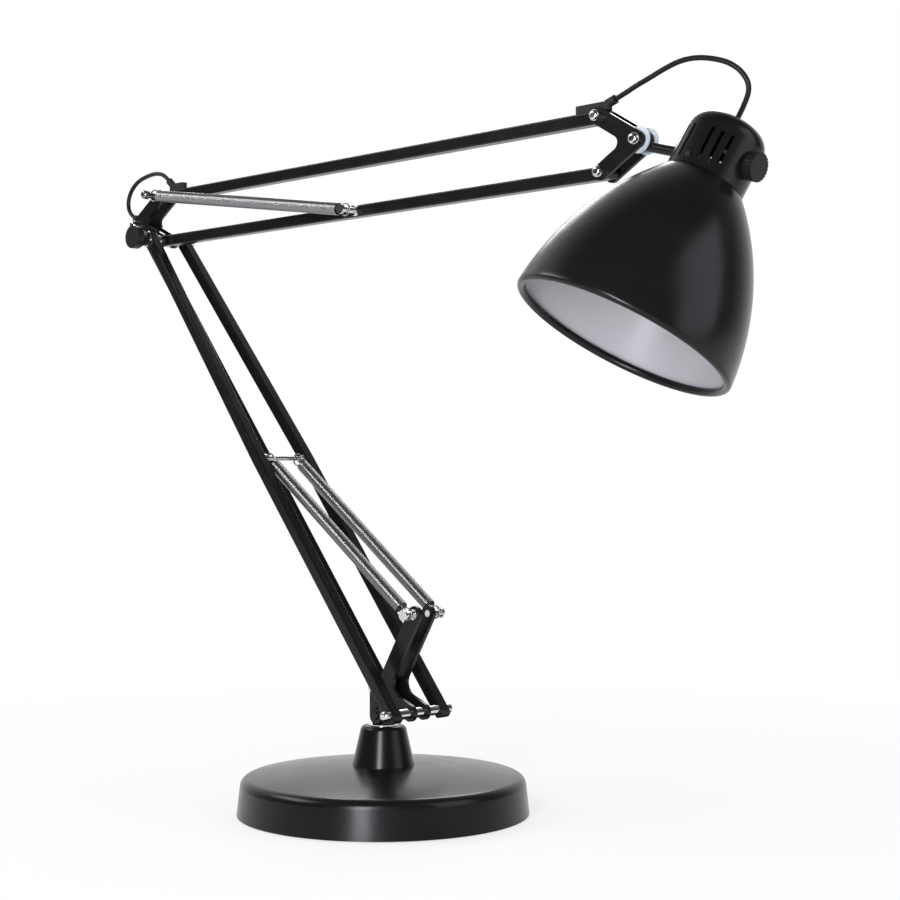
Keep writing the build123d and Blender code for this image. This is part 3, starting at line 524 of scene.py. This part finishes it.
@dataclass
class TensionSpring:
    """Close-coiled tension spring with a round hook at each end.

    Attributes:
        node: solid that the spring stands for.
        first_pin: middle of the pin in the first hook.
        second_pin: middle of the pin in the second hook.
        pin_radii: radius of each pin.
        bodies: bodies that carry the first and the second pin; not used.
        spans: stretches that the spring is cut into.
        wire: width of the wire along the coil.
        outer_radius: radius of the coil at its outside.
        pitch: travel of one turn.
        hook_gap: play between a hook and its pin.
        hook_to_coil: distance from a hook's middle to the coil.
        hook_tip: angle of a hook's free end.
        hook_root: angle at which a hook leaves its loop.
        hook_points: points in a hook's loop.
        run_points: points from the loop to the coil.
        first_turn: share of the coil's ring direction at the start of that run.
        coil_depth: thickness of the wire across the coil, as a share of its width.
        points_a_turn: points in one turn.
        wire_sides: points in a ring of the wire.
    """

    node: str
    first_pin: np.ndarray
    second_pin: np.ndarray
    pin_radii: tuple[float, float]
    bodies: tuple[str, str]
    spans: tuple[SpringSpan, ...]
    wire: float = 1.2 * MM
    outer_radius: float = 4.9 * MM
    pitch: float = 1.24 * MM
    hook_gap: float = 0.3 * MM
    hook_to_coil: float = 7.5 * MM
    hook_tip: float = math.radians(-35.0)
    hook_root: float = math.radians(-270.0)
    hook_points: int = 44
    run_points: int = 18
    first_turn: float = 0.05
    coil_depth: float = 0.4
    points_a_turn: int = 20
    wire_sides: int = 10

    @property
    def mean_radius(self) -> float:
        """Radius of the coil at the middle of the wire."""
        return self.outer_radius - self.coil_depth * self.wire / 2

    def hook(self, centre: np.ndarray, ahead: np.ndarray, sideways: np.ndarray) -> np.ndarray:
        """Hook at one end, from its tip to the start of the coil.

        The loop is a circle in the plane of ahead and sideways. A cubic with set end directions
        carries its end to the side of the coil.

        Args:
            centre: middle of the loop.
            ahead: direction towards the coil.
            sideways: direction across it, in the arm plane.

        Returns:
            Points of the wire's middle.
        """
        angle = np.linspace(self.hook_tip, self.hook_root, self.hook_points)[:, None]
        loop = centre + self.mean_radius * (ahead * np.cos(angle) + sideways * np.sin(angle))
        goal = centre + ahead * self.hook_to_coil + Y_WAY * self.mean_radius
        reach = np.linalg.norm(goal - loop[-1])
        leave = ahead * reach
        arrive = unit(ahead * self.pitch - sideways * (2 * np.pi * self.mean_radius)) * reach
        t = np.linspace(0, 1, self.run_points + 2)[1:-1, None]
        run = (2 * t**3 - 3 * t**2 + 1) * loop[-1] + (t**3 - 2 * t**2 + t) * leave
        run += (3 * t**2 - 2 * t**3) * goal + (t**3 - t**2) * arrive
        return np.concatenate([loop, run])

    def wire_line(self) -> tuple[np.ndarray, np.ndarray, np.ndarray]:
        """Middle of the wire, the reference direction of its rings and their depth.

        The coil is p(a) = start + along * travel + r (across cos a + Y sin a). The reference
        turns from Y in the hooks to the spring's own direction in the coil.

        Returns:
            Points of the wire, one reference direction for each and one share of depth for each.
        """
        along = unit(self.second_pin - self.first_pin)
        across = np.cross(along, Y_WAY)
        inner_radius = self.mean_radius - self.wire / 2
        seat = [inner_radius - radius - self.hook_gap for radius in self.pin_radii]
        first, second = self.first_pin + along * seat[0], self.second_pin - along * seat[1]
        coil_length = np.linalg.norm(second - first) - 2 * self.hook_to_coil
        turns = round(coil_length / self.pitch)
        share = np.linspace(0, 1, turns * self.points_a_turn + 1)[:, None]
        angle = np.pi / 2 + 2 * np.pi * turns * share
        coil = first + along * (self.hook_to_coil + coil_length * share)
        coil = coil + self.mean_radius * (across * np.cos(angle) + Y_WAY * np.sin(angle))
        head = self.hook(first, along, across)
        tail = self.hook(second, -along, -across)[::-1]
        turn_in = np.linspace(self.first_turn, 1, self.run_points)
        lead = np.concatenate([np.zeros(self.hook_points), turn_in])
        weight = np.concatenate([lead, np.ones(len(coil)), lead[::-1]])[:, None]
        reference = (1 - weight) * Y_WAY + weight * along
        depth = 1 - (1 - self.coil_depth) * weight[:, 0]
        return np.concatenate([head, coil, tail]), reference, depth

    def build(self) -> list[bpy.types.Object]:
        """Make the stretches.

        Returns:
            The new pieces.
        """
        line, reference, depth = self.wire_line()
        run = self.second_pin - self.first_pin
        share = np.maximum.accumulate((line - self.first_pin) @ run / (run @ run))
        pieces = []
        for number, span in enumerate(self.spans, start=1):
            low = int(np.searchsorted(share, span.start)) if span.start > 0 else 0
            high = int(np.searchsorted(share, span.end)) + 1 if span.end < 1 else len(line)
            name = f"{self.node}_coil" if len(self.spans) == 1 else f"{self.node}_coil_{number}"
            part = slice(low, high)
            surface = tube(line[part], reference[part], self.wire / 2, self.wire_sides, depth[part])
            piece = surface.build(name)
            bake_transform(piece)
            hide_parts(self.node)
            pieces.append(piece)
        return pieces


@dataclass
class SpringSet:
    """The two springs beside the lower arm and the one beside the upper arm.

    Attributes:
        pin_radii: radius of the pin in the first and the second hook.
        lower_spans: stretches that the lower springs are cut into.
        upper_spans: stretches that the upper spring is cut into.
    """

    pin_radii: Limits = (2.5 * MM, 2.2 * MM)
    lower_spans: tuple[SpringSpan, ...] = (
        SpringSpan(0.0, 0.12, 0.0, 0.2943), SpringSpan(0.12, 1.0, -0.4705, 0.9737),
    )
    upper_spans: tuple[SpringSpan, ...] = (SpringSpan(0.0, 1.0, -0.008, 0.22),)

    def build(self) -> list[bpy.types.Object]:
        """Make all the springs.

        Returns:
            The new pieces.
        """
        tip, rod = node_middle("lower_spring_studs"), node_middle("spring_cross_rod")
        pieces = []
        for node in ("lower_spring_near", "lower_spring_far"):
            side = node_middle(node)[1]
            spring = TensionSpring(
                node, in_arm_plane(tip, side), in_arm_plane(rod, side), self.pin_radii,
                ("bracket", "lower_arm"), self.lower_spans,
            )
            pieces += spring.build()
        side = node_middle("upper_spring")[1]
        upper = TensionSpring(
            "upper_spring", in_arm_plane(joint_place("upper_arm_pivot"), side),
            in_arm_plane(node_middle("upper_spring_pin"), side), self.pin_radii,
            ("elbow", "bottom_arm"), self.upper_spans,
        )
        return pieces + upper.build()


# Cord
@dataclass(frozen=True)
class CordStretch:
    """One stretch of the cord, between two bodies.

    Attributes:
        node: solid that the stretch stands for.
        bodies: body at its start and body at its end; not used.
        route: control points in millimetres.
    """

    node: str
    bodies: tuple[str, str]
    route: tuple[Point, ...]


ELBOW_LOOP = (
    CordStretch("elbow_cord_arm", ("top_arm", "elbow"), (
        (-267.22, 0, 509.08), (-273.61, 0, 514.69), (-282.5, 0, 517.6), (-291.5, 0, 518.0),
        (-296.25, 0, 517.45),
    )),
    CordStretch("elbow_cord_link", ("elbow", "rear_link"), (
        (-296.25, 0, 517.45), (-301.0, 0, 516.9), (-310.5, 0, 514.8), (-319.0, 0, 510.5),
        (-325.6, 0, 503.5), (-328.0, 0, 494.5), (-323.83, 0, 485.94), (-316.33, 0, 481.94),
    )),
)
HEAD_LOOP = (
    CordStretch("head_cord_arm", ("top_arm", "head_bracket"), (
        (223.94, 0, 506.46), (232.02, 0, 509.10), (241.0, 0, 512.6), (251.0, 1.0, 516.2),
        (256.75, 1.8, 518.6),
    )),
    CordStretch("head_cord_middle", ("head_bracket", "stem"), (
        (256.75, 1.8, 518.6), (262.5, 2.6, 521.0), (274.0, 4.6, 524.8), (285.5, 7.0, 525.4),
        (291.25, 8.3, 524.3),
    )),
    CordStretch("head_cord_tail", ("stem", "head"), (
        (291.25, 8.3, 524.3), (297.0, 9.6, 523.2), (307.0, 13.0, 519.4), (314.5, 16.8, 512.6),
        (318.0, 19.8, 503.0), (315.03, 16.80, 490.70), (312.56, 12.62, 481.96),
    )),
)


@dataclass
class LampCord:
    """The thin cord that loops over the elbow and over the head.

    Attributes:
        diameter: thickness of the cord.
        order: order of the spline.
        steps: points to each stretch of the spline.
        sides: points in a ring of the sheath.
    """

    diameter: float = 3.6 * MM
    order: int = 3
    steps: int = 12
    sides: int = 16

    def spline_line(self, route: np.ndarray) -> np.ndarray:
        """Points on the smooth spline whose control points are the route.

        Args:
            route: control points in metres, shape (n, 3).

        Returns:
            Points along the spline, in order.
        """
        curve = bpy.data.curves.new("cord_route", "CURVE")
        curve.dimensions = "3D"
        curve.resolution_u = self.steps
        spline = curve.splines.new("NURBS")
        spline.points.add(len(route) - 1)
        spline.points.foreach_set("co", np.column_stack([route, np.ones(len(route))]).ravel())
        spline.order_u = self.order
        spline.use_endpoint_u = True
        holder = bpy.data.objects.new("cord_route", curve)
        line = bpy.data.meshes.new_from_object(holder)
        points = np.empty(len(line.vertices) * 3)
        line.vertices.foreach_get("co", points)
        bpy.data.objects.remove(holder)
        bpy.data.meshes.remove(line)
        bpy.data.curves.remove(curve)
        return points.reshape(-1, 3)

    def build(self, stretch: CordStretch) -> bpy.types.Object:
        """Args:
            stretch: route and bodies of the stretch.

        Returns:
            The new piece.
        """
        line = self.spline_line(np.array(stretch.route) * MM)
        piece = tube(line, Y_WAY, self.diameter / 2, self.sides).build(f"{stretch.node}_sheath")
        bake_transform(piece)
        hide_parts(stretch.node)
        return piece


# Shade
@dataclass
class BellShade:
    """Spun bell shade, black outside and white inside, with a rolled rim.

    Heights are measured from the plane of the rim along the shade's axis.

    Attributes:
        rim_radius: outer radius at the rim.
        neck_radius: outer radius at the neck.
        height: height of the neck.
        bulge: rise of the wall's arc over its chord.
        sheet: thickness of the wall.
        bead_radius: radius of the rolled rim's section.
        hole_radius: radius of the hole in the top.
        socket_middle: height of the lamp socket's mount.
        bead_meets_inside: angle on the bead where the inner wall starts.
        around: points around the axis.
        arc_points: points along the wall.
        bead_points: points around the bead.
    """

    rim_radius: float = 74.6 * MM
    neck_radius: float = 27.0 * MM
    height: float = 111.5 * MM
    bulge: float = 10.3 * MM
    sheet: float = 1.2 * MM
    bead_radius: float = 2.75 * MM
    hole_radius: float = 20.0 * MM
    socket_middle: float = 104.5 * MM
    bead_meets_inside: float = math.radians(66.0)
    around: int = 256
    arc_points: int = 56
    bead_points: int = 25

    def wall(self, inset: float, points: int) -> np.ndarray:
        """Arc of the wall from rim to neck, drawn in by an inset.

        The arc stands on the chord between rim and neck with the bulge as its rise.

        Args:
            inset: distance inside the outer skin.
            points: number of points.

        Returns:
            Radius and height of each point.
        """
        rim = np.array([self.rim_radius - inset, 0.0])
        neck = np.array([self.neck_radius, self.height]) - inset
        chord = neck - rim
        half = np.linalg.norm(chord) / 2
        outwards = unit(np.array([chord[1], -chord[0]]))
        radius = (half**2 + self.bulge**2) / (2 * self.bulge)
        centre = (rim + neck) / 2 + outwards * (self.bulge - radius)
        first, last = (math.atan2(*(end - centre)[::-1]) for end in (rim, neck))
        angle = np.linspace(first, last, points)
        return centre + radius * np.column_stack([np.cos(angle), np.sin(angle)])

    def outline(self) -> tuple[np.ndarray, np.ndarray]:
        """Closed half section of the sheet: outer wall, top ring, inner wall and rolled rim.

        Returns:
            Radius and height of each point, and for each point whether the next stretch is white.
        """
        outer = self.wall(0.0, self.arc_points)
        inner = self.wall(self.sheet, self.arc_points)[::-1]
        rise = self.bead_radius * math.sin(self.bead_meets_inside)
        inner = inner[inner[:, 1] > rise]
        hole = np.array([[self.hole_radius, self.height], [self.hole_radius, self.height - self.sheet]])
        angle = np.linspace(self.bead_meets_inside, 2 * np.pi, self.bead_points, endpoint=False)
        bead = np.column_stack([np.cos(angle), np.sin(angle)]) * self.bead_radius
        bead[:, 0] += self.rim_radius - self.bead_radius
        white = [np.zeros(len(outer) + 1), np.ones(len(inner) + 1), np.zeros(len(bead))]
        return np.concatenate([outer, hole, inner, bead]), np.concatenate(white)

    def build(self) -> bpy.types.Object:
        """Turn the outline about the shade's axis.

        Returns:
            The new piece, black in its first slot and white in its second.
        """
        socket = mount("lamp_socket")
        axis, ahead = -unit(np.array(socket["axis"], float)), joint_axis("head_twist")
        rim_centre = np.array(socket["pos_m"], float) - axis * self.socket_middle
        sideways = np.cross(axis, ahead)
        outline, white = self.outline()
        angle = np.linspace(0, 2 * np.pi, self.around, endpoint=False)[:, None]
        round_way = ahead * np.cos(angle) + sideways * np.sin(angle)
        points = rim_centre + outline[:, None, :1] * round_way[None] + outline[:, None, 1:] * axis
        piece = GridSurface(points, closed_rows=True).build("bell_shade", white)
        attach(piece, "head")
        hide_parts("shade")
        return piece


# Camera, floor and light
@dataclass(frozen=True)
class PhotoCamera:
    """Camera fitted to the photograph: it looks at the upright axis, then pans and pitches a little.

    Attributes:
        lens: focal length in millimetres.
        sensor: width of the sensor in millimetres.
        distance: distance from the upright axis.
        height: height above the floor.
        yaw: turn about the upright axis.
        pan: turn to the right.
        pitch: tilt upwards.
    """

    lens: float = 70.0
    sensor: float = 36.0
    distance: float = 1324.42 * MM
    height: float = 253.02 * MM
    yaw: float = 0.8056943
    pan: float = 0.0378825
    pitch: float = 0.0157131

    def build(self) -> None:
        """Make the camera and set it as the scene's own."""
        data = bpy.data.cameras.new("photo_camera")
        data.lens, data.sensor_width = self.lens, self.sensor
        camera = bpy.data.objects.new("photo_camera", data)
        ahead = np.array([-math.sin(self.yaw), math.cos(self.yaw), 0.0])
        right = np.array([math.cos(self.yaw), math.sin(self.yaw), 0.0])
        view = (ahead * math.cos(self.pan) + right * math.sin(self.pan)) * math.cos(self.pitch)
        view = view + Z_WAY * math.sin(self.pitch)
        camera.location = Vector(-ahead * self.distance + Z_WAY * self.height)
        camera.rotation_euler = Vector(view).to_track_quat("-Z", "Y").to_euler()
        bpy.context.scene.collection.objects.link(camera)
        bpy.context.scene.camera = camera


@dataclass(frozen=True)
class SoftBox:
    """A soft rectangular lamp.

    Attributes:
        name: name of the lamp.
        place: where it stands, in metres.
        aim: point that it faces.
        size: its width and height.
        power: its power in watts.
        colour: colour of its light.
    """

    name: str
    place: Point
    aim: Point
    size: Limits
    power: float
    colour: Colour

    def build(self) -> None:
        """Make the lamp."""
        data = bpy.data.lights.new(self.name, "AREA")
        data.shape = "RECTANGLE"
        data.size, data.size_y = self.size
        data.energy = self.power
        data.color = self.colour
        lamp = bpy.data.objects.new(self.name, data)
        lamp.location = self.place
        way = Vector(self.aim) - Vector(self.place)
        lamp.rotation_euler = way.to_track_quat("-Z", "Y").to_euler()
        bpy.context.scene.collection.objects.link(lamp)


@dataclass
class Studio:
    """Pale floor, white surroundings and soft light.

    Attributes:
        floor_radius: radius of the floor.
        floor_hole: square root of the share of that radius where the floor begins.
        floor_rings: rings of the floor's grid.
        floor_sides: points in each ring.
        floor_drop: distance of the floor below the lamp.
        floor_white: colour level of the floor.
        shadow_reach: distances where the floor's own shade begins and ends to fade.
        floor_glow: share of plain white in the floor at these distances.
        backdrop_light: strength of the light from the surroundings.
        backdrop_tint: colour of that light.
        room_grey: level of the dim room in reflections.
        backdrop_way: direction of the backdrop.
        backdrop_edge: how far a direction agrees with it where the backdrop ends and begins.
        aim: point that the lamps face.
    """

    floor_radius: float = 6.0
    floor_hole: float = 0.02
    floor_rings: int = 40
    floor_sides: int = 96
    floor_drop: float = 0.1 * MM
    floor_white: float = 0.88
    shadow_reach: Limits = (0.15, 0.9)
    floor_glow: Limits = (0.72, 1.0)
    backdrop_light: float = 0.42
    backdrop_tint: Colour = (0.95, 0.97, 1.0)
    room_grey: float = 0.06
    backdrop_way: Point = (-0.72, 0.69, 0.0)
    backdrop_edge: Limits = (0.1, 0.85)
    aim: Point = (0.0, 0.0, 0.28)

    def seen_share(self, nodes: bpy.types.Nodes, links: bpy.types.NodeLinks) -> Socket:
        """Tell rays that see the surroundings from rays that gather light.

        Args:
            nodes: nodes of the tree being built.
            links: links of that tree.

        Returns:
            Socket with 1 for camera, mirrored and passing rays, and 0 for the others.
        """
        path = nodes.new("ShaderNodeLightPath")
        first, second = nodes.new("ShaderNodeMath"), nodes.new("ShaderNodeMath")
        first.operation = second.operation = "MAXIMUM"
        links.new(path.outputs["Is Camera Ray"], first.inputs[0])
        links.new(path.outputs["Is Glossy Ray"], first.inputs[1])
        links.new(first.outputs[0], second.inputs[0])
        links.new(path.outputs["Is Transmission Ray"], second.inputs[1])
        return second.outputs[0]

    def build_world(self) -> None:
        """Surroundings: white where the camera sees them, a soft grey where they light.

        Polished pieces mirror the white backdrop that the camera looks towards, which fades round the
        sides and overhead into a dim room.
        """
        world = bpy.data.worlds.new("studio")
        world.use_nodes = True
        nodes, links = world.node_tree.nodes, world.node_tree.links
        nodes.clear()
        place, facing = nodes.new("ShaderNodeTexCoord"), nodes.new("ShaderNodeVectorMath")
        facing.operation = "DOT_PRODUCT"
        facing.inputs[1].default_value = self.backdrop_way
        links.new(place.outputs["Generated"], facing.inputs[0])
        fade, path = nodes.new("ShaderNodeMapRange"), nodes.new("ShaderNodeLightPath")
        fade.interpolation_type = "SMOOTHSTEP"
        far, near = self.backdrop_edge
        fade.inputs["From Min"].default_value, fade.inputs["From Max"].default_value = far, near
        fade.inputs["To Min"].default_value = self.room_grey
        links.new(facing.outputs["Value"], fade.inputs["Value"])
        white = nodes.new("ShaderNodeMath")
        white.operation = "MAXIMUM"
        links.new(fade.outputs["Result"], white.inputs[0])
        links.new(path.outputs["Is Camera Ray"], white.inputs[1])
        seen, light = nodes.new("ShaderNodeBackground"), nodes.new("ShaderNodeBackground")
        seen.inputs["Color"].default_value = (1.0, 1.0, 1.0, 1.0)
        links.new(white.outputs[0], seen.inputs["Strength"])
        light.inputs["Color"].default_value = (*self.backdrop_tint, 1.0)
        light.inputs["Strength"].default_value = self.backdrop_light
        mix, output = nodes.new("ShaderNodeMixShader"), nodes.new("ShaderNodeOutputWorld")
        links.new(self.seen_share(nodes, links), mix.inputs["Fac"])
        links.new(light.outputs[0], mix.inputs[1])
        links.new(seen.outputs[0], mix.inputs[2])
        links.new(mix.outputs[0], output.inputs["Surface"])
        bpy.context.scene.world = world

    def build_floor(self) -> None:
        """Round pale floor, white where seen apart from the object's shadow.

        The grid is polar, with radius R s^2 and s in even steps.
        """
        step = np.linspace(self.floor_hole, 1.0, self.floor_rings)[:, None, None]
        radius = step**2 * self.floor_radius
        angle = np.linspace(0, 2 * np.pi, self.floor_sides, endpoint=False)[None, :, None]
        flat = np.concatenate([radius * np.cos(angle), radius * np.sin(angle)], axis=-1)
        points = np.concatenate([flat, np.full(flat.shape[:2] + (1,), -self.floor_drop)], axis=-1)
        floor = GridSurface(points[::-1]).build("floor")
        sheet = NodeSheet("pale_floor")
        diffuse, glow = sheet.add("ShaderNodeBsdfDiffuse"), sheet.add("ShaderNodeEmission")
        diffuse.inputs["Color"].default_value = (self.floor_white,) * 3 + (1.0,)
        middle, fade = sheet.add("ShaderNodeVectorMath"), sheet.add("ShaderNodeMapRange")
        middle.operation = "LENGTH"
        sheet.link(sheet.add("ShaderNodeTexCoord").outputs["Object"], middle.inputs[0])
        begin, end = self.shadow_reach
        fade.inputs["From Min"].default_value, fade.inputs["From Max"].default_value = begin, end
        fade.inputs["To Min"].default_value, fade.inputs["To Max"].default_value = self.floor_glow
        sheet.link(middle.outputs["Value"], fade.inputs["Value"])
        share = sheet.add("ShaderNodeMath")
        share.operation = "MULTIPLY"
        sheet.link(fade.outputs["Result"], share.inputs[1])
        sheet.link(self.seen_share(sheet.tree.nodes, sheet.tree.links), share.inputs[0])
        mix = sheet.add("ShaderNodeMixShader")
        sheet.link(share.outputs[0], mix.inputs["Fac"])
        sheet.link(diffuse.outputs[0], mix.inputs[1])
        sheet.link(glow.outputs[0], mix.inputs[2])
        sheet.finish(mix.outputs[0])
        floor.data.materials.append(sheet.material)

    def build(self) -> None:
        """Make the surroundings, the floor and the lamps."""
        bpy.context.scene.view_settings.view_transform = "Standard"
        self.build_world()
        self.build_floor()
        for lamp in (
            SoftBox("front_box", (0.72, -1.25, 0.45), self.aim, (0.30, 0.85), 19.0, (0.92, 0.95, 1.0)),
            SoftBox("right_box", (1.55, 0.45, 0.9), self.aim, (1.0, 1.2), 7.0, (0.88, 0.93, 1.0)),
            SoftBox("left_box", (-1.05, -0.95, 1.35), self.aim, (1.1, 0.6), 12.0, (1.0, 0.97, 0.93)),
            SoftBox("rear_box", (-0.9, 1.1, 1.3), self.aim, (1.0, 0.5), 9.0, (1.0, 0.97, 0.94)),
        ):
            lamp.build()


# The lamp
@dataclass
class ArchitectLamp:
    """The whole lamp: finishes on its solids, and its springs, cord and shade.

    Attributes:
        cord: the cord.
        springs: the springs.
        shade: the shade.
    """

    cord: LampCord = field(default_factory=LampCord)
    springs: SpringSet = field(default_factory=SpringSet)
    shade: BellShade = field(default_factory=BellShade)

    def dress_solids(self, materials: dict[str, bpy.types.Material]) -> None:
        """Give every solid its duller finish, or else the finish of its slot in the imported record.

        Args:
            materials: material of each slot.
        """
        for part in frame["record"]["subparts"]:
            slot = DULLED_PIECES.get(part["node"], part["material_slot"])
            solid = frame["nodes"][part["node"]]
            solid.data.materials.clear()
            solid.data.materials.append(materials[slot])

    def build(self) -> None:
        """Make the new pieces and dress everything."""
        materials = {slot: finish.build() for slot, finish in FINISHES.items()}
        enamel = ENAMEL.build()
        self.dress_solids(materials)
        for stretch in ELBOW_LOOP + HEAD_LOOP:
            piece = self.cord.build(stretch)
            piece.data.materials.append(materials["cord_sheath"])
            LOG.info("cord stretch %s", piece.name)
        for piece in self.springs.build():
            piece.data.materials.append(materials["spring_steel"])
            LOG.info("spring %s: %d faces", piece.name, len(piece.data.polygons))
        shade = self.shade.build()
        shade.data.materials.append(materials["satin_black_paint"])
        shade.data.materials.append(enamel)
        LOG.info("shade %s: %d faces", shade.name, len(shade.data.polygons))


def main() -> None:
    """Build the camera, the lamp and its surroundings, and log the new pieces."""
    logging.basicConfig(level=logging.INFO, format="%(name)s: %(message)s")
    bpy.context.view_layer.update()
    PhotoCamera().build()
    ArchitectLamp().build()
    Studio().build()


if __name__ == "__main__":
    main()
